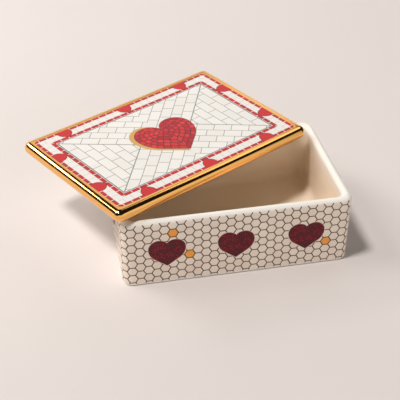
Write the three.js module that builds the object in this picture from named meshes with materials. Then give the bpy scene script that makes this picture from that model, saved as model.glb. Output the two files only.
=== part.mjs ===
// A small rectangular stoneware trinket box with a flat lift-off lid.
// Millimetres, +Z up. The origin is the centre of the box's underside, and +X runs along its length.
// The lid lies askew on the rim, so that one end of the box stands open.
import * as THREE from "three";

// the box
const boxLength = 106;
const boxWidth = 70;
const boxHeight = 35;
const wallThickness = 4;
const floorThickness = 4.5;
const boxCornerRadius = 4.5; // the upright outer corners, in plan
const hollowCornerRadius = 4; // the upright corners inside, in plan
const footRadius = 1.2; // where the walls turn under to the flat underside
const hollowFootRadius = 4; // where the walls inside turn into the floor

// the lid
const lidOverhang = 4.5; // how far it stands past the box all round when it is on straight
const lidThickness = 6.2;
const lidCornerRadius = 3.6; // in plan

// how the lid lies
const lidTurn = 29.2; // degrees, seen from above, against the box's length
const lidShiftX = -22.7; // its centre from the box's centre
const lidShiftY = 25.6;
const seatClearance = 0.3; // the rim and the lid are two bodies

// how finely curves are cut
const cornerSteps = 10; // per quarter turn in plan
const edgeSteps = 12; // over a half-round edge
const filletSteps = 6; // over a quarter-round edge

const glazedStoneware = new THREE.MeshStandardMaterial({
  name: "glazed stoneware",
  color: 0xece6da,
  roughness: 0.22,
  metalness: 0,
});
const lidStoneware = new THREE.MeshStandardMaterial({
  name: "glazed lid with a gilt edge",
  color: 0xf2ede4,
  roughness: 0.18,
  metalness: 0.05,
});

// one level of a solid: a rectangle with round corners, drawn in from a full size by an inset
function level(length, width, inset, radius, z) {
  const halfX = length / 2 - inset;
  const halfY = width / 2 - inset;
  const corners = [[1, 1], [-1, 1], [-1, -1], [1, -1]];
  const points = [];
  corners.forEach(([signX, signY], quarter) => {
    for (let step = 0; step <= cornerSteps; step += 1) {
      const angle = (Math.PI / 2) * (quarter + step / cornerSteps);
      points.push([
        signX * (halfX - radius) + radius * Math.cos(angle),
        signY * (halfY - radius) + radius * Math.sin(angle),
        z,
      ]);
    }
  });
  return points;
}

// a closed solid skinned over its levels, with a flat cap on the first and the last of them
function skin(levels) {
  const count = levels[0].length;
  const positions = levels.flat(2);
  const triangles = [];
  for (let row = 0; row + 1 < levels.length; row += 1) {
    for (let i = 0; i < count; i += 1) {
      const a = row * count + i;
      const b = row * count + ((i + 1) % count);
      triangles.push(a, b, b + count, a, b + count, a + count);
    }
  }
  const first = positions.length / 3;
  positions.push(0, 0, levels[0][0][2]);
  positions.push(0, 0, levels.at(-1)[0][2]);
  const lastRow = (levels.length - 1) * count;
  for (let i = 0; i < count; i += 1) {
    const next = (i + 1) % count;
    triangles.push(first, next, i);
    triangles.push(first + 1, lastRow + i, lastRow + next);
  }
  const geometry = new THREE.BufferGeometry();
  geometry.setAttribute("position", new THREE.Float32BufferAttribute(positions, 3));
  geometry.setIndex(triangles);
  geometry.computeVertexNormals();
  return geometry;
}

// outside from the underside up, over the half-round rim, and down inside to the floor
function boxGeometry() {
  const levels = [];
  const rimRadius = wallThickness / 2;
  for (let step = 0; step <= filletSteps; step += 1) {
    const angle = (Math.PI / 2) * (step / filletSteps);
    const inset = footRadius * (1 - Math.sin(angle));
    const z = footRadius * (1 - Math.cos(angle));
    levels.push(level(boxLength, boxWidth, inset, boxCornerRadius - inset, z));
  }
  for (let step = 0; step <= edgeSteps; step += 1) {
    const angle = Math.PI * (step / edgeSteps);
    const inset = rimRadius * (1 - Math.cos(angle));
    const share = inset / wallThickness;
    const radius = boxCornerRadius + (hollowCornerRadius - boxCornerRadius) * share;
    const z = boxHeight - rimRadius + rimRadius * Math.sin(angle);
    levels.push(level(boxLength, boxWidth, inset, radius, z));
  }
  for (let step = 0; step <= filletSteps; step += 1) {
    const angle = (Math.PI / 2) * (step / filletSteps);
    const inset = wallThickness + hollowFootRadius * (1 - Math.cos(angle));
    const z = floorThickness + hollowFootRadius * (1 - Math.sin(angle));
    levels.push(level(boxLength, boxWidth, inset, hollowCornerRadius, z));
  }
  return skin(levels);
}

// a flat slab whose edge is one half round
function lidGeometry() {
  const lidLength = boxLength + 2 * lidOverhang;
  const lidWidth = boxWidth + 2 * lidOverhang;
  const edgeRadius = lidThickness / 2;
  const levels = [];
  for (let step = 0; step <= edgeSteps; step += 1) {
    const angle = Math.PI * (step / edgeSteps);
    const inset = edgeRadius * (1 - Math.sin(angle));
    const z = edgeRadius * (1 - Math.cos(angle));
    levels.push(level(lidLength, lidWidth, inset, lidCornerRadius - inset, z));
  }
  return skin(levels);
}

const box = new THREE.Mesh(boxGeometry(), glazedStoneware);
box.name = "box";

const lid = new THREE.Mesh(lidGeometry(), lidStoneware);
lid.name = "lid";
lid.position.set(lidShiftX, lidShiftY, boxHeight + seatClearance);
lid.rotation.z = THREE.MathUtils.degToRad(lidTurn);

const trinketBox = new THREE.Group();
trinketBox.add(box, lid);

export default trinketBox;
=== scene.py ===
# A rectangular stoneware trinket box with a flat lift-off lid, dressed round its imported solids.
# Metres, +Z up. The origin is the centre of the box's underside, and +X runs along its length.
# Sizes in the dictionaries are millimetres, angles are degrees and colours are sRGB from 0 to 255.
import math
import bpy
from mathutils import Matrix, Vector, noise


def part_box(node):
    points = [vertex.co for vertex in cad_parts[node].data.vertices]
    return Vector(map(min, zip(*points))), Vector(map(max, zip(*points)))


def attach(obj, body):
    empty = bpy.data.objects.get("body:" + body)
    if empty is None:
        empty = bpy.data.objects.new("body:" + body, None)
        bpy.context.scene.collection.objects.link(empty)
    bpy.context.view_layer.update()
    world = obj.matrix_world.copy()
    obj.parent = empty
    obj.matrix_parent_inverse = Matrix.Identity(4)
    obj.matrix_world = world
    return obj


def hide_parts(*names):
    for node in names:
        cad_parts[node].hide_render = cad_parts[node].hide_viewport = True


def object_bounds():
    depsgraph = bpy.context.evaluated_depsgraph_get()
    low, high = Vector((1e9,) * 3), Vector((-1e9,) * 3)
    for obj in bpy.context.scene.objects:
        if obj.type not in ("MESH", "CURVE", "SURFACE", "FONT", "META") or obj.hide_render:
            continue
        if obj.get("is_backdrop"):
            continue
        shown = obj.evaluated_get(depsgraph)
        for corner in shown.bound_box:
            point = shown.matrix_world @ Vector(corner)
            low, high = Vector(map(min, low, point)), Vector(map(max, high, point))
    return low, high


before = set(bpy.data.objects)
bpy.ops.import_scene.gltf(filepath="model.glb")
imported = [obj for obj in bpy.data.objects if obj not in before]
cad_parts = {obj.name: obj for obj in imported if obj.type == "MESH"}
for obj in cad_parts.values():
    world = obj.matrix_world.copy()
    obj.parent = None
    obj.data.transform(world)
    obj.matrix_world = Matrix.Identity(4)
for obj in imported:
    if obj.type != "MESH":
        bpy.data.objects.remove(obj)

mm = 0.001
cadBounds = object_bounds()
noise.seed_set(7)  # without a seed the noise starts from the clock, and differs each time


# an sRGB colour as the linear colour that sockets take
def paint(red, green, blue):
    linear = []
    for channel in (red, green, blue):
        share = channel / 255
        linear.append(share / 12.92 if share <= 0.04045 else ((share + 0.055) / 1.055) ** 2.4)
    return (*linear, 1.0)


# A number that varies over a surface. Arithmetic on it adds Math nodes to its finish.
class Shade:
    def __init__(self, finish, socket):
        self.finish = finish
        self.socket = socket

    def __add__(self, other):
        return self.finish.math("ADD", self, other)

    def __radd__(self, other):
        return self.finish.math("ADD", other, self)

    def __sub__(self, other):
        return self.finish.math("SUBTRACT", self, other)

    def __rsub__(self, other):
        return self.finish.math("SUBTRACT", other, self)

    def __mul__(self, other):
        return self.finish.math("MULTIPLY", self, other)

    def __rmul__(self, other):
        return self.finish.math("MULTIPLY", other, self)

    def __truediv__(self, other):
        return self.finish.math("DIVIDE", self, other)

    def __mod__(self, other):
        return self.finish.math("FLOORED_MODULO", self, other)

    def __lt__(self, other):
        return self.finish.math("LESS_THAN", self, other)

    def __gt__(self, other):
        return self.finish.math("GREATER_THAN", self, other)

    def __abs__(self):
        return self.finish.math("ABSOLUTE", self)

    def __floor__(self):
        return self.finish.math("FLOOR", self)

    def __round__(self):
        return self.finish.math("ROUND", self)


# The nodes of a material, or of the room when its tree is given, and what adds to them
class Finish:
    def __init__(self, name, tree=None):
        if tree is None:
            self.material = bpy.data.materials.new(name)
            self.material.use_nodes = True
            tree = self.material.node_tree
        self.tree = tree
        self.tree.nodes.clear()

    # any node: its settings are set first, then its sockets get values or links
    def node(self, kind, settings, sockets, output=0):
        node = self.tree.nodes.new(kind)
        for name, value in settings.items():
            setattr(node, name, value)
        for name, value in sockets.items():
            if isinstance(value, Shade):
                self.tree.links.new(value.socket, node.inputs[name])
            else:
                node.inputs[name].default_value = value
        return Shade(self, node.outputs[output]) if node.outputs else None

    def math(self, operation, *values, clamp=False):
        settings = {"operation": operation, "use_clamp": clamp}
        return self.node("ShaderNodeMath", settings, dict(enumerate(values)))

    # x and y of one of the mesh's maps, in millimetres
    def mapOf(self, name):
        uv = self.node("ShaderNodeUVMap", {"uv_map": name}, {})
        x = self.node("ShaderNodeSeparateXYZ", {}, {0: uv}, 0)
        y = self.node("ShaderNodeSeparateXYZ", {}, {0: uv}, 1)
        return x / mm, y / mm

    # 1 where a distance is under the limit and 0 beyond it, with a soft step between them
    def under(self, distance, limit, soft=0.12):
        return self.math("MULTIPLY_ADD", limit - distance, 1 / soft, 0.5, clamp=True)

    def smaller(self, a, b):
        return self.math("MINIMUM", a, b)

    def larger(self, a, b):
        return self.math("MAXIMUM", a, b)

    # a where the choice is 1 and b where it is 0
    def pick(self, choice, a, b):
        return self.math("MULTIPLY_ADD", choice, a - b, b)

    # how far a value is from the nearest multiple of a step
    def offGrid(self, value, step):
        return abs(value - round(value / step) * step)

    # a random number from 0 to 1 for each whole-numbered place
    def chance(self, a, b, c=0.0):
        place = self.node("ShaderNodeCombineXYZ", {}, {0: a, 1: b, 2: c})
        settings = {"noise_dimensions": "3D"}
        return self.node("ShaderNodeTexWhiteNoise", settings, {"Vector": place}, "Value")

    # cloudy noise from 0 to 1 in the object's own space, with lumps of about the given size
    def cloud(self, size, detail=2.0):
        place = self.node("ShaderNodeTexCoord", {}, {}, "Object")
        sockets = {"Vector": place, "Scale": 1 / (size * mm), "Detail": detail}
        return self.node("ShaderNodeTexNoise", {"noise_dimensions": "3D"}, sockets, "Fac")

    # one colour laid over another by a mask
    def over(self, mask, top, ground):
        return self.node("ShaderNodeMix", {"data_type": "RGBA"}, {0: mask, 6: ground, 7: top}, 2)

    def bump(self, height, strength, depth):
        sockets = {"Height": height, "Strength": strength, "Distance": depth * mm}
        return self.node("ShaderNodeBump", {}, sockets)

    # the finished surface: constants and links on the shader's own sockets
    def surface(self, sockets):
        shader = self.node("ShaderNodeBsdfPrincipled", {}, sockets)
        self.node("ShaderNodeOutputMaterial", {}, {"Surface": shader})
        return self.material


# Hearts are drawn from a lobe's arc, a side's arc and a straight run down to the tip.
# The result is 0 in a heart's middle and 1 on its outline, so that its multiples draw rings inside it.
def heartGauge(finish, x, y, heart):
    slope = math.radians(heart["tipSlope"])
    sine, cosine = math.sin(slope), math.cos(slope)
    halfWidth, depth = heart["halfWidth"], heart["depth"]
    sideRadius = (depth * cosine - halfWidth * sine) / (1 - sine)
    reach = abs(x)
    square = reach * reach + y * y

    # how large the heart has to be for the arc of this radius to pass through the point
    def arc(radius):
        centre = halfWidth - radius
        gap = radius**2 - centre**2
        run = reach * centre
        return (finish.math("SQRT", square * gap + run * run) - run) / gap

    straight = (reach * sine - y * cosine) / (depth * cosine)
    joinX = halfWidth - sideRadius + sideRadius * sine
    low = reach * (sideRadius * cosine) < y * -joinX
    side = finish.pick(low, straight, arc(sideRadius))
    return finish.pick(y > 0, arc(heart["lobeRadius"]), side)


# Small tiles in rings inside a heart: how far the nearest joint is, and a random number for each tile
def heartTiles(finish, x, y, gauge, heart):
    rings = heart["rings"]
    ring = math.floor(gauge * rings)
    count = ring * heart["tilesMore"] + heart["tilesFirst"]
    turn = abs(finish.math("ARCTAN2", x, y)) / (2 * math.pi)
    along = turn * count + 0.5
    tile = math.floor(along)
    middle = math.floor(count * 0.5 + 0.5)
    sideways = (tile > 0.5) * (tile < middle) * (x > 0)
    ringGap = finish.offGrid(gauge, 1 / rings) * heart["halfWidth"]
    tileGap = finish.offGrid(along, 1.0) * gauge * (2 * math.pi * heart["halfWidth"]) / count
    return finish.smaller(ringGap, tileGap), finish.chance(tile, ring, sideways)


# What the glaze has in common on both pieces
glazeSettings = {
    "heartSoft": 0.02,  # the softness of a large heart's outline, as a share of its size
    "roughness": 0.2,
    "roughnessDrift": 0.08,
    "driftSize": 9.0,
    "coatRoughness": 0.06,
    "rippleSize": 5.0,
    "rippleDepth": 0.05,
}


# The meshes

# Where the points of a level stand, round a rectangle with round corners: the middle of each one's arc, as
# shares of the half sizes, the way that the outline faces there, and the distance walked to it. The walk
# starts at the back of the left side and goes round by the front.
def planStations(length, width, radius, spacing, cornerSteps):
    corners = [(-1, 1), (-1, -1), (1, -1), (1, 1)]
    stations = []
    walked = 0.0
    for quarter in range(4):
        here = Vector(corners[quarter])
        ahead = Vector(corners[(quarter + 1) % 4])
        facing = math.pi * (1 + quarter / 2)
        run = (length if quarter % 2 else width) - 2 * radius
        steps = round(run / spacing)
        for step in range(steps):
            stations.append((here.lerp(ahead, step / steps), facing, walked))
            walked += run / steps
        for step in range(cornerSteps):
            angle = facing + math.pi / 2 * step / cornerSteps
            stations.append((ahead, angle, walked))
            walked += radius * math.pi / 2 / cornerSteps
    return stations, walked


# A smooth unevenness, as hand-cast clay has it, which fades out towards the flat underside, and a slight
# warp from the kiln. Its twist lifts two opposite corners and lowers the others. Its bow lifts both ends
# and lowers the middle.
def uneven(point, waviness, length, width):
    drift = noise.noise_vector(point / waviness["size"]) * waviness["depth"]
    drift.z *= min(1.0, point.z / waviness["flatBelow"])
    alongX, alongY = point.x / (length / 2), point.y / (width / 2)
    drift.z += waviness["twist"] * alongX * alongY + waviness["bow"] * (alongX**2 - 1 / 3)
    return drift


# A closed piece lofted over levels, each an inset from the full size, a corner radius, a height and
# the distance along the section. It has two maps: wrap is the distance round and along the section,
# and plan is the place seen from above.
def loftPiece(name, form, levels, place):
    length, width, radius = form["length"], form["width"], form["corner"]
    stations, around = planStations(length, width, radius, form["spacing"], form["cornerSteps"])
    frontMiddle = width - 2 * radius + radius * math.pi / 2 + (length - 2 * radius) / 2
    count = len(stations)
    points = []
    plans = []
    for inset, corner, height, section in levels:
        halfX = length / 2 - inset - corner
        halfY = width / 2 - inset - corner
        for share, facing, walked in stations:
            x = share.x * halfX + corner * math.cos(facing)
            y = share.y * halfY + corner * math.sin(facing)
            point = Vector((x, y, height))
            plans.append((x * mm, y * mm))
            points.append(place @ ((point + uneven(point, form["waviness"], length, width)) * mm))
    walks = [(walked - frontMiddle) * mm for share, facing, walked in stations]
    walks.append((around - frontMiddle) * mm)
    faces = [tuple(reversed(range(count)))]
    wraps = [[(walks[i], levels[0][3] * mm) for i in reversed(range(count))]]
    for row in range(len(levels) - 1):
        low = levels[row][3] * mm
        high = levels[row + 1][3] * mm
        for i in range(count):
            a = row * count + i
            b = row * count + (i + 1) % count
            faces.append((a, b, b + count, a + count))
            wraps.append([(walks[i], low), (walks[i + 1], low), (walks[i + 1], high), (walks[i], high)])
    last = (len(levels) - 1) * count
    faces.append(tuple(range(last, last + count)))
    wraps.append([(walks[i], levels[-1][3] * mm) for i in range(count)])
    mesh = bpy.data.meshes.new(name)
    mesh.from_pydata(points, [], faces)
    wrapMap = mesh.uv_layers.new(name="wrap")
    planMap = mesh.uv_layers.new(name="plan")
    for polygon, wrap in zip(mesh.polygons, wraps):
        polygon.use_smooth = True
        for corner, uv in zip(polygon.loop_indices, wrap):
            wrapMap.data[corner].uv = uv
            planMap.data[corner].uv = plans[mesh.loops[corner].vertex_index]
    mesh.validate()
    piece = bpy.data.objects.new(name, mesh)
    bpy.context.scene.collection.objects.link(piece)
    return piece


# The levels of a flat face that closes a piece, from its outline in to a narrow strip
def flatLevels(width, fromInset, corner, height, section, spacing, outwards):
    steps = int((width / 2 - fromInset - corner) / spacing)
    levels = []
    for step in range(1, steps):
        inset = fromInset + step * spacing
        levels.append((inset, corner, height, section + outwards * step * spacing))
    return levels


# The box
boxLow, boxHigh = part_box("box")
boxSettings = {
    "length": (boxHigh.x - boxLow.x) / mm,
    "width": (boxHigh.y - boxLow.y) / mm,
    "height": (boxHigh.z - boxLow.z) / mm,
    "wall": 4.0,
    "floor": 4.5,
    "corner": 4.5,
    "hollowCorner": 4.0,
    "foot": 1.2,
    "hollowFoot": 4.0,
    "spacing": 2.0,  # between the mesh's points
    "cornerSteps": 14,
    "rimSteps": 18,
    "filletSteps": 6,
    "underCorner": 1.5,  # of the levels that close the underside
    "waviness": {"size": 34.0, "depth": 0.07, "flatBelow": 3.0, "twist": 0.0, "bow": 0.0},
}


def boxLevels(box):
    wall, foot, hollowFoot = box["wall"], box["foot"], box["hollowFoot"]
    rim = wall / 2
    spacing = box["spacing"]
    levels = flatLevels(box["width"], foot, box["underCorner"], 0.0, -foot, spacing, -1)[::-1]
    filletSteps = box["filletSteps"]
    for step in range(filletSteps + 1):
        angle = math.pi / 2 * step / filletSteps
        inset = foot * (1 - math.sin(angle))
        height = foot * (1 - math.cos(angle))
        levels.append((inset, box["corner"] - inset, height, height))
    wallTop = box["height"] - rim
    wallSteps = round((wallTop - foot) / spacing)
    for step in range(1, wallSteps):
        height = foot + (wallTop - foot) * step / wallSteps
        levels.append((0.0, box["corner"], height, height))
    for step in range(box["rimSteps"] + 1):
        angle = math.pi * step / box["rimSteps"]
        inset = rim * (1 - math.cos(angle))
        corner = box["corner"] + (box["hollowCorner"] - box["corner"]) * inset / wall
        levels.append((inset, corner, wallTop + rim * math.sin(angle), wallTop + rim * angle))
    section = wallTop + rim * math.pi
    drop = wallTop - box["floor"] - hollowFoot
    innerSteps = round(drop / spacing)
    for step in range(1, innerSteps):
        down = drop * step / innerSteps
        levels.append((wall, box["hollowCorner"], wallTop - down, section + down))
    for step in range(filletSteps + 1):
        angle = math.pi / 2 * step / filletSteps
        inset = wall + hollowFoot * (1 - math.cos(angle))
        height = box["floor"] + hollowFoot * (1 - math.sin(angle))
        levels.append((inset, box["hollowCorner"], height, section + drop + hollowFoot * angle))
    section += drop + hollowFoot * math.pi / 2
    levels += flatLevels(box["width"], wall + hollowFoot, box["hollowCorner"], box["floor"],
                         section, spacing, 1)
    return levels


wallPrint = {
    "columns": 92,  # of hexagon tiles, round all four walls
    "wholeRow": 30.06,  # height of the middle of the top whole tiles
    "joint": 0.48,
    "bottom": 1.2,
    "top": 34.0,
    "jointColour": (80, 42, 18),
    "tileLight": (250, 236, 222),
    "tileDark": (242, 226, 210),
    "glaze": (252, 248, 240),
    "highlightFrom": 33.0,  # height round which the tiles get paler, a painted highlight below the rim
    "highlightOver": 6.0,
    "highlightShare": 0.5,
    "insideGlazeBounceTint": (252, 234, 212),
    "insideFrom": 6.0,  # where its colour sets in, past the box's height along the section
    "insideOver": 8.0,
    "goldColour": (252, 168, 74),
    "goldTiles": [(-8, 0.5), (-6, 3.5), (11, 4), (21, 2), (40, 0.5), (49, 4), (52, 1.5), (69, 3)],
    "goldReach": 1.0,  # how near a tile's middle has to be to one of these places
    "heartLevel": 19.6,
    "hearts": [-32.7, -1.2, 31.6],  # along the long walls
    "heartHalo": 0.03,
    "heartDark": (84, 24, 32),
    "heartMid": (100, 26, 38),
    "heartBright": (150, 24, 40),
    "heartFlecks": 0.55,  # share of the small tiles that are the darker ones
    "heartJoint": 0.44,
    "heart": {
        "halfWidth": 8.5,
        "lobeRadius": 4.8,
        "depth": 9.9,
        "tipSlope": 36.0,
        "rings": 7,
        "tilesFirst": 4,
        "tilesMore": 5,
    },
    "clayLight": (214, 196, 172),
    "clayDark": (196, 176, 150),
    "clayGrain": 0.6,
    "clayRoughness": 0.85,
    "clayTo": 0.3,  # softness of the bare underside's border
    "coat": 0.5,
    "ripple": 0.25,
}


# Hexagon tiles with flat tops in upright columns: the nearest joint's distance, and the tile's middle
def hexagonTiles(finish, x, z, column, row, wholeRow):
    span = 2 * column
    found = []
    for shift, height in ((0.0, wholeRow + row / 2), (column, wholeRow)):
        across = x - shift
        up = z - height
        middleX = round(across / span) * span
        middleZ = round(up / row) * row
        found.append((across - middleX, up - middleZ, middleX + shift, middleZ + height))
    even, odd = found
    nearEven = even[0] * even[0] + even[1] * even[1] < odd[0] * odd[0] + odd[1] * odd[1]
    dx, dz, middleX, middleZ = (finish.pick(nearEven, a, b) for a, b in zip(even, odd))
    slanted = abs(dx) * math.sqrt(0.75) + abs(dz) * 0.5
    return row / 2 - finish.larger(abs(dz), slanted), middleX, middleZ


def glazedStoneware(box, pattern, glaze):
    finish = Finish("glazed_stoneware")
    x, z = finish.mapOf("wrap")
    straightX = box["length"] - 2 * box["corner"]
    straightY = box["width"] - 2 * box["corner"]
    around = 2 * (straightX + straightY) + 2 * math.pi * box["corner"]
    column = around / pattern["columns"]
    row = column / 1.5 * math.sqrt(3)
    gap, middleX, middleZ = hexagonTiles(finish, x, z, column, row, pattern["wholeRow"])
    printed = finish.under(abs(z - (pattern["top"] + pattern["bottom"]) / 2),
                           (pattern["top"] - pattern["bottom"]) / 2)

    # tiles, each a little lighter or darker, and the gold ones among them
    tone = finish.chance(round(middleX / column) % pattern["columns"], round(middleZ / row * 2))
    tiles = finish.over(tone, paint(*pattern["tileLight"]), paint(*pattern["tileDark"]))
    # the top rows are whitened towards the rim: a painted highlight
    pale = finish.under(pattern["highlightFrom"] - z, 0.0, pattern["highlightOver"]) * pattern["highlightShare"]
    tiles = finish.over(pale, paint(*pattern["glaze"]), tiles)
    gold = 0.0
    for tileColumn, rowsDown in pattern["goldTiles"]:
        level = pattern["wholeRow"] - rowsDown * row
        away = abs(middleX - tileColumn * column) + abs(middleZ - level)
        gold = (away < pattern["goldReach"]) + gold
    tiles = finish.over(gold, paint(*pattern["goldColour"]), tiles)

    # three hearts on each long wall and one on each short wall
    sideMiddle = straightX / 2 + math.pi / 2 * box["corner"] + straightY / 2
    backHearts = [around / 2 + at for at in pattern["hearts"]]
    middles = sorted(pattern["hearts"] + backHearts + [-sideMiddle, sideMiddle])
    heartX = x - middles[0]
    for before, after in zip(middles, middles[1:]):
        heartX = heartX - (x > (before + after) / 2) * (after - before)
    heartY = z - pattern["heartLevel"]
    heart = pattern["heart"]
    gauge = heartGauge(finish, heartX, heartY, heart)
    heartGap, heartTone = heartTiles(finish, heartX, heartY, gauge, heart)
    heartMask = finish.under(gauge, 1.0, glaze["heartSoft"])
    halo = finish.under(gauge, 1.0 + pattern["heartHalo"], glaze["heartSoft"])
    joints = finish.under(gap, pattern["joint"] / 2) * (1 - halo)
    ground = finish.over(joints, paint(*pattern["jointColour"]), tiles)
    bright = heartTone > pattern["heartFlecks"]
    flecks = finish.over(bright, paint(*pattern["heartBright"]), paint(*pattern["heartMid"]))
    heartJoints = finish.under(heartGap, pattern["heartJoint"] / 2)
    heartColour = finish.over(heartJoints, paint(*pattern["heartDark"]), flecks)
    ground = finish.over(heartMask, heartColour, ground)
    # inside, a creamier glaze whose warm tint also stands in for warm light bounced about in the box,
    # painted bounce light
    inside = finish.under(box["height"] + pattern["insideFrom"] - z, 0.0, pattern["insideOver"])
    plain = finish.over(inside, paint(*pattern["insideGlazeBounceTint"]), paint(*pattern["glaze"]))
    colour = finish.over(printed, ground, plain)

    # the bare clay underneath
    bare = finish.under(z, 0.0, pattern["clayTo"])
    grain = finish.cloud(pattern["clayGrain"])
    clay = finish.over(grain, paint(*pattern["clayLight"]), paint(*pattern["clayDark"]))
    drift = finish.cloud(glaze["driftSize"]) * glaze["roughnessDrift"]
    ripple = finish.cloud(glaze["rippleSize"])
    return finish.surface({
        "Base Color": finish.over(bare, clay, colour),
        "Roughness": finish.pick(bare, pattern["clayRoughness"], drift + glaze["roughness"]),
        "Specular IOR Level": 0.0,
        "Coat Weight": (1 - bare) * pattern["coat"],
        "Coat Roughness": glaze["coatRoughness"],
        "Normal": finish.bump(ripple, pattern["ripple"], glaze["rippleDepth"]),
    })


box = loftPiece("stoneware_box", boxSettings, boxLevels(boxSettings), Matrix.Identity(4))
box.data.materials.append(glazedStoneware(boxSettings, wallPrint, glazeSettings))
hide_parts("box")
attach(box, "root")
print("box lofted and glazed:", len(box.data.polygons), "faces")

# The lid
lidLow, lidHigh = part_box("lid")
lidSettings = {
    "overhang": 4.5,  # past the box, all round, when it is on straight
    "thickness": (lidHigh.z - lidLow.z) / mm,
    "corner": 3.6,
    "turn": 29.2,
    "spacing": 2.0,
    "cornerSteps": 14,
    "edgeSteps": 24,
    "waviness": {"size": 26.0, "depth": 0.08, "flatBelow": 1.5, "twist": 0.6, "bow": 0.45},
}
lidSettings["length"] = boxSettings["length"] + 2 * lidSettings["overhang"]
lidSettings["width"] = boxSettings["width"] + 2 * lidSettings["overhang"]


def lidLevels(lid):
    edge = lid["thickness"] / 2
    least = lid["corner"] - edge
    levels = flatLevels(lid["width"], edge, least, 0.0, -math.pi * edge, lid["spacing"], -1)[::-1]
    for step in range(lid["edgeSteps"] + 1):
        angle = math.pi * step / lid["edgeSteps"]
        inset = edge * (1 - math.sin(angle))
        height = edge * (1 - math.cos(angle))
        levels.append((inset, lid["corner"] - inset, height, edge * (angle - math.pi)))
    levels += flatLevels(lid["width"], edge, least, lid["thickness"], 0.0, lid["spacing"], 1)
    return levels


lidPrint = {
    "glaze": (239, 235, 230),
    "tileLight": (243, 241, 237),
    "tileDark": (236, 234, 229),
    "jointColour": (140, 140, 134),
    "red": (206, 44, 50),
    "redDark": (172, 58, 56),
    "redOutline": (104, 48, 52),
    "centreX": -0.35,  # the whole print sits a little to the left and to the front
    "centreY": -0.25,
    "giltInset": 4.15,
    "giltCorner": 2.6,
    "giltWobble": 0.5,
    "giltLump": 7.0,  # the size of that wobble's waves
    "giltColour": (250, 190, 110),
    "giltRoughness": 0.08,
    "giltDrift": 0.06,
    "giltDriftSize": 3.0,
    "giltFrom": 0.4,  # where it starts, from the underside's border along the section
    "outerLine": 5.05,  # each line's middle, from the lid's outline
    "outerHalf": 0.88,
    "innerLine": 11.1,
    "innerHalf": 1.02,
    "lineCorner": 0.4,
    "dash": 4.4,
    "dashGap": 0.35,
    "bandJoint": 0.22,
    "bandJointColour": (196, 194, 188),
    "fieldLine": 12.6,
    "fieldLineWidth": 0.42,
    "fieldLineColour": (96, 98, 98),
    "longHeartEvery": 35.9,
    "backHeartsLeft": 0.9,  # those along the back sit this much further left
    "shortHeartAt": 15.9,
    "borderHeartLevel": 5.95,
    "borderHeartRim": 1.06,  # the size of its dark outline's two sides, as shares of the heart
    "borderHeartFill": 0.97,
    "borderHeartSoft": 0.04,
    "borderHeart": {"halfWidth": 3.6, "lobeRadius": 2.0, "depth": 5.1, "tipSlope": 40.0},
    "mitreReach": 15.0,  # where a corner's mitre meets the long middle line, from the centre
    "mitreWidth": 0.5,
    "joint": 0.3,
    "firstCourse": 5.45,
    "course": 5.3,
    "endBrick": 10.0,
    "endStart": 2.46,
    "endBond": 0.57,
    "middleBrick": 8.47,
    "middleStart": 39.2,
    "middleBond": 2.98,
    "heartX": 0.94,
    "heartY": 3.17,
    "heart": {
        "halfWidth": 15.9,
        "lobeRadius": 8.32,
        "depth": 20.75,
        "tipSlope": 39.5,
        "rings": 6,
        "tilesFirst": 4,
        "tilesMore": 5,
    },
    "heartDeep": (178, 36, 46),
    "heartBright": (232, 58, 58),
    "heartJoint": (108, 42, 56),
    "heartJointWidth": 0.5,
    "heartJointSoft": 0.3,
    "heartRim": 0.975,
    "shadowX": -0.9,
    "shadowY": 0.72,
    "shadowSize": 1.09,
    "shadowTo": -0.8,  # right of this, from the heart's middle, it is left out
    "shadowColour": (216, 168, 98),
    "coat": 0.6,
    "ripple": 0.1,
}


# distance in from a rectangle with round corners, which itself lies inside the lid's outline
def insetOf(finish, x, y, lid, inset, corner):
    outX = abs(x) - (lid["length"] / 2 - inset - corner)
    outY = abs(y) - (lid["width"] / 2 - inset - corner)
    pastX = finish.larger(outX, 0.0)
    pastY = finish.larger(outY, 0.0)
    bend = finish.math("SQRT", pastX * pastX + pastY * pastY)
    inner = finish.smaller(finish.larger(outX, outY), 0.0)
    return corner - bend - inner


# The tiled field: upright courses at both ends, and courses along the corner mitres between them
def fieldTiles(finish, x, y, lid, pattern):
    halfX = lid["length"] / 2 - pattern["fieldLine"]
    halfY = lid["width"] / 2 - pattern["fieldLine"]
    mitre = math.atan2(halfY, halfX - pattern["mitreReach"])
    sine, cosine = math.sin(mitre), math.cos(mitre)
    reachX, reachY = abs(x), abs(y)
    past = (reachX - pattern["mitreReach"]) * sine - reachY * cosine
    inEnd = past > 0
    sideX = finish.math("SIGN", x)
    sideY = finish.math("SIGN", y)

    endPlace = (halfX - pattern["firstCourse"] - reachX) / pattern["course"]
    endBond = (math.floor(endPlace) + 1) % 2 * pattern["endBond"]
    endAlong = (sideX * y - pattern["endStart"]) / pattern["endBrick"] - endBond
    middlePlace = past / -pattern["course"]
    middleCourse = math.floor(middlePlace)
    middleAlong = (reachX * sine + reachY * cosine - pattern["middleStart"]
                   + middleCourse * pattern["middleBond"]) / pattern["middleBrick"]

    place = finish.pick(inEnd, endPlace, middlePlace)
    along = finish.pick(inEnd, endAlong, middleAlong)
    brick = finish.pick(inEnd, pattern["endBrick"], pattern["middleBrick"])
    courseGap = finish.offGrid(place, 1.0) * pattern["course"]
    brickGap = finish.offGrid(along, 1.0) * brick
    apart = 20  # keeps the random numbers of the field's four quarters apart
    tone = finish.chance(math.floor(place) + sideX * apart, math.floor(along) + sideY * apart, inEnd)
    joints = finish.larger(finish.under(finish.smaller(courseGap, brickGap), pattern["joint"] / 2),
                           finish.under(abs(past), pattern["mitreWidth"] / 2))
    return joints, tone


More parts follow.
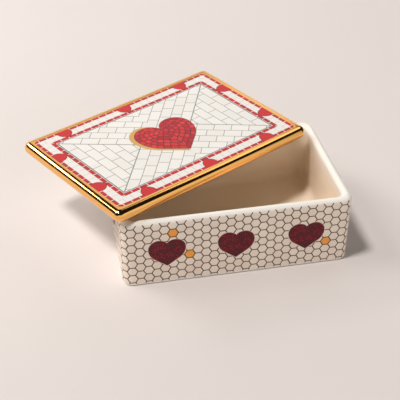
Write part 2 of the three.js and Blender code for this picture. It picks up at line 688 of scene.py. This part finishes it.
def giltEdgedStoneware(lid, pattern, glaze):
    finish = Finish("gilt_edged_stoneware")
    planX, planY = finish.mapOf("plan")
    section = finish.mapOf("wrap")[1]
    x = planX - pattern["centreX"]
    y = planY - pattern["centreY"]
    fromEndX = lid["length"] / 2 - abs(x)
    fromEndY = lid["width"] / 2 - abs(y)
    onLong = fromEndY < fromEndX
    along = finish.pick(onLong, x, y)
    white = paint(*pattern["glaze"])

    # the field and its line
    joints, tone = fieldTiles(finish, x, y, lid, pattern)
    tiles = finish.over(tone, paint(*pattern["tileLight"]), paint(*pattern["tileDark"]))
    field = finish.over(joints, paint(*pattern["jointColour"]), tiles)
    fieldDepth = insetOf(finish, x, y, lid, pattern["fieldLine"], pattern["lineCorner"])
    innerDepth = insetOf(finish, x, y, lid, pattern["innerLine"], pattern["lineCorner"])
    outerDepth = insetOf(finish, x, y, lid, pattern["outerLine"], pattern["lineCorner"])

    # the white band between two dashed red lines
    dash = pattern["dash"]
    bandJoints = finish.under(finish.offGrid(along, dash), pattern["bandJoint"] / 2)
    band = finish.over(bandJoints, paint(*pattern["bandJointColour"]), white)
    colour = finish.over(finish.under(innerDepth, 0.0), band, white)
    colour = finish.over(finish.under(fieldDepth * -1, 0.0), field, colour)
    fieldLine = finish.under(abs(fieldDepth), pattern["fieldLineWidth"] / 2)
    colour = finish.over(fieldLine, paint(*pattern["fieldLineColour"]), colour)
    dashes = finish.under(pattern["dashGap"] / 2 - finish.offGrid(along + dash / 2, dash), 0.0)
    lines = finish.larger(finish.under(abs(outerDepth), pattern["outerHalf"]),
                          finish.under(abs(innerDepth), pattern["innerHalf"]))
    side = finish.math("SIGN", x) + finish.math("SIGN", y)
    redTone = finish.chance(math.floor(along / dash + 0.5), onLong, side)
    red = finish.over(redTone, paint(*pattern["red"]), paint(*pattern["redDark"]))
    colour = finish.over(lines * dashes, red, colour)

    # the hearts of the border, with their tips to the middle
    every = pattern["longHeartEvery"]
    longX = x + (y > 0) * pattern["backHeartsLeft"]
    heartX = finish.pick(onLong, longX - round(longX / every) * every, abs(y) - pattern["shortHeartAt"])
    heartY = pattern["borderHeartLevel"] - finish.pick(onLong, fromEndY, fromEndX)
    gauge = heartGauge(finish, heartX, heartY, pattern["borderHeart"])
    rim = finish.under(gauge, pattern["borderHeartRim"], pattern["borderHeartSoft"])
    fill = finish.under(gauge, pattern["borderHeartFill"], pattern["borderHeartSoft"])
    colour = finish.over(rim, paint(*pattern["redOutline"]), colour)
    colour = finish.over(fill, paint(*pattern["red"]), colour)

    # the large heart, over a gold one that shows past its left side
    heart = pattern["heart"]
    heartX = x - pattern["heartX"]
    heartY = y - pattern["heartY"]
    shadow = dict(heart)
    for name in ("halfWidth", "lobeRadius", "depth"):
        shadow[name] = heart[name] * pattern["shadowSize"]
    shadowGauge = heartGauge(finish, heartX - pattern["shadowX"], heartY - pattern["shadowY"], shadow)
    shadowMask = finish.under(shadowGauge, 1.0, glaze["heartSoft"])
    shadowMask = shadowMask * finish.under(heartX, pattern["shadowTo"])
    colour = finish.over(shadowMask, paint(*pattern["shadowColour"]), colour)
    gauge = heartGauge(finish, heartX, heartY, heart)
    gap, heartTone = heartTiles(finish, heartX, heartY, gauge, heart)
    flecks = finish.over(heartTone, paint(*pattern["heartBright"]), paint(*pattern["heartDeep"]))
    heartJoints = finish.under(gap, pattern["heartJointWidth"] / 2, pattern["heartJointSoft"])
    heartOutline = finish.under(pattern["heartRim"] - gauge, 0.0, glaze["heartSoft"])
    heartLines = finish.larger(heartJoints, heartOutline)
    heartColour = finish.over(heartLines, paint(*pattern["heartJoint"]), flecks)
    colour = finish.over(finish.under(gauge, 1.0, glaze["heartSoft"]), heartColour, colour)

    # everything below the top is plain glaze, and the gilt runs over the edge
    onTop = section > 0.0
    colour = finish.over(onTop, colour, white)
    wobble = (finish.cloud(pattern["giltLump"]) - 0.5) * pattern["giltWobble"]
    giltDepth = insetOf(finish, x, y, lid, pattern["giltInset"], pattern["giltCorner"])
    margin = finish.under(giltDepth + wobble, 0.0)
    edge = lid["thickness"] / 2
    under = finish.under(section, -math.pi * edge + pattern["giltFrom"])
    gilt = margin * (1 - under)
    colour = finish.over(gilt, paint(*pattern["giltColour"]), colour)
    giltRoughness = finish.cloud(pattern["giltDriftSize"]) * pattern["giltDrift"] + pattern["giltRoughness"]
    glazeRoughness = finish.cloud(glaze["driftSize"]) * glaze["roughnessDrift"] + glaze["roughness"]
    ripple = finish.cloud(glaze["rippleSize"])
    return finish.surface({
        "Base Color": colour,
        "Metallic": gilt,
        "Roughness": finish.pick(gilt, giltRoughness, glazeRoughness),
        "Specular IOR Level": 0.0,
        "Coat Weight": (1 - gilt) * pattern["coat"],
        "Coat Roughness": glaze["coatRoughness"],
        "Normal": finish.bump(ripple, pattern["ripple"], glaze["rippleDepth"]),
    })


lidPlace = Matrix.Translation(((lidLow.x + lidHigh.x) / 2, (lidLow.y + lidHigh.y) / 2, lidLow.z))
lidPlace = lidPlace @ Matrix.Rotation(math.radians(lidSettings["turn"]), 4, "Z")
lid = loftPiece("stoneware_lid", lidSettings, lidLevels(lidSettings), lidPlace)
lid.data.materials.append(giltEdgedStoneware(lidSettings, lidPrint, glazeSettings))
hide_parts("lid")
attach(lid, "root")
print("lid lofted, printed and gilt:", len(lid.data.polygons), "faces")

# The floor, the light and the camera
studio = {
    "floorColour": (231, 224, 221),
    "floorDrift": 3,  # how much darker its darker spots are
    "floorLump": 60.0,
    "floorRoughness": 0.9,
    "floorSize": 8.0,  # metres
    "skyLow": (244, 240, 236),
    "skyHigh": (26, 24, 22),
    "wallTop": 0.45,  # sine of the height where the room's pale walls end
    "wallSoft": 0.05,
    "wallLean": 0.12,  # how much higher than that they reach on the right, and lower on the left
    "lowWallFrom": -0.62,  # left of this they are lower still
    "lowWallBy": 0.19,
    "lowWallSoft": 0.3,
    "nicheAt": 20.0,  # the middle of a dark opening in the walls, from +X towards +Y
    "nicheHalf": 36.0,
    "nicheShade": 0.0,
    "nicheSoft": 0.2,
    "sunFrom": (-0.41, -0.09, 1.0),
    "sunWidth": 10.0,
    "sunStrength": 1.84,
    "sunColour": (255, 251, 247),
    # each soft card: where it hangs, its width and height, its brightness and its colour
    "cards": {
        "window": ((-518, 404, 462), (272, 130), 10.5, (255, 251, 247)),
        "left_card": ((-620, 166, 713), (360, 360), 5.7, (255, 251, 247)),
        "back_card": ((78, 897, 691), (565, 339), 0.88, (255, 250, 244)),
        "far_card": ((482, 517, 843), (528, 368), 1.4, (255, 250, 244)),
    },
}


def makeFloor(studio):
    half = studio["floorSize"] / 2
    mesh = bpy.data.meshes.new("floor")
    corners = [(-half, -half, 0), (half, -half, 0), (half, half, 0), (-half, half, 0)]
    mesh.from_pydata(corners, [], [(0, 1, 2, 3)])
    floor = bpy.data.objects.new("floor", mesh)
    bpy.context.scene.collection.objects.link(floor)
    finish = Finish("floor_paper")
    light = paint(*studio["floorColour"])
    dark = paint(*[channel - studio["floorDrift"] for channel in studio["floorColour"]])
    colour = finish.over(finish.cloud(studio["floorLump"]), light, dark)
    sockets = {"Base Color": colour, "Roughness": studio["floorRoughness"]}
    floor.data.materials.append(finish.surface(sockets))
    floor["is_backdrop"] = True


# A room with pale walls and a dark ceiling, for the gilt to reflect. The walls are dark in one place.
def makeSky(studio):
    world = bpy.data.worlds.new("room")
    bpy.context.scene.world = world
    world.use_nodes = True
    room = Finish("room", world.node_tree)
    away = room.node("ShaderNodeTexCoord", {}, {}, "Generated")
    x, y, z = (room.node("ShaderNodeSeparateXYZ", {}, {0: away}, axis) for axis in range(3))
    low = room.under(x, studio["lowWallFrom"], studio["lowWallSoft"]) * studio["lowWallBy"]
    wall = room.under(z - x * studio["wallLean"] + low, studio["wallTop"], studio["wallSoft"])
    niche = math.radians(studio["nicheAt"])
    level = room.math("SQRT", x * x + y * y)
    towards = (x * math.cos(niche) + y * math.sin(niche)) / level
    dark = room.under(math.cos(math.radians(studio["nicheHalf"])) - towards, 0.0, studio["nicheSoft"])
    lit = wall * (1 - dark * (1 - studio["nicheShade"]))
    colour = room.over(lit, paint(*studio["skyLow"]), paint(*studio["skyHigh"]))
    glow = room.node("ShaderNodeBackground", {}, {"Color": colour}, 0)
    room.node("ShaderNodeOutputWorld", {}, {"Surface": glow})


def hang(name, light, place):
    lamp = bpy.data.objects.new(name, light)
    lamp.location = place
    lamp.rotation_euler = (-place).to_track_quat("-Z", "Y").to_euler()
    bpy.context.scene.collection.objects.link(lamp)


def makeLights(studio):
    sun = bpy.data.lights.new("key", "SUN")
    sun.energy = studio["sunStrength"]
    sun.angle = math.radians(studio["sunWidth"])
    sun.color = paint(*studio["sunColour"])[:3]
    hang("key", sun, Vector(studio["sunFrom"]))
    for name, (place, size, brightness, colour) in studio["cards"].items():
        card = bpy.data.lights.new(name, "AREA")
        card.shape = "RECTANGLE"
        card.size, card.size_y = size[0] * mm, size[1] * mm
        card.energy = brightness * math.pi * card.size * card.size_y
        card.color = paint(*colour)[:3]
        hang(name, card, Vector(place) * mm)


cameraSettings = {
    "eye": (-77.6, -342.3, 270.8),
    "target": (-11.1, -0.4, 18.6),
    "lens": 80.7,
    "sensor": 36.0,
    "nearest": 10.0,
}


def makeCamera(settings):
    data = bpy.data.cameras.new("photo_view")
    data.lens = settings["lens"]
    data.sensor_width = settings["sensor"]
    data.clip_start = settings["nearest"] * mm
    camera = bpy.data.objects.new("photo_view", data)
    eye, target = Vector(settings["eye"]), Vector(settings["target"])
    camera.location = eye * mm
    camera.rotation_euler = (target - eye).to_track_quat("-Z", "Y").to_euler()
    bpy.context.scene.collection.objects.link(camera)
    bpy.context.scene.camera = camera


makeFloor(studio)
makeSky(studio)
makeLights(studio)
makeCamera(cameraSettings)
bpy.context.scene.view_settings.view_transform = "Standard"
print("floor, lights and camera placed")

sizes = {
    "cad": [list(corner) for corner in cadBounds],
    "visual": [list(corner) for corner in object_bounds()],
}
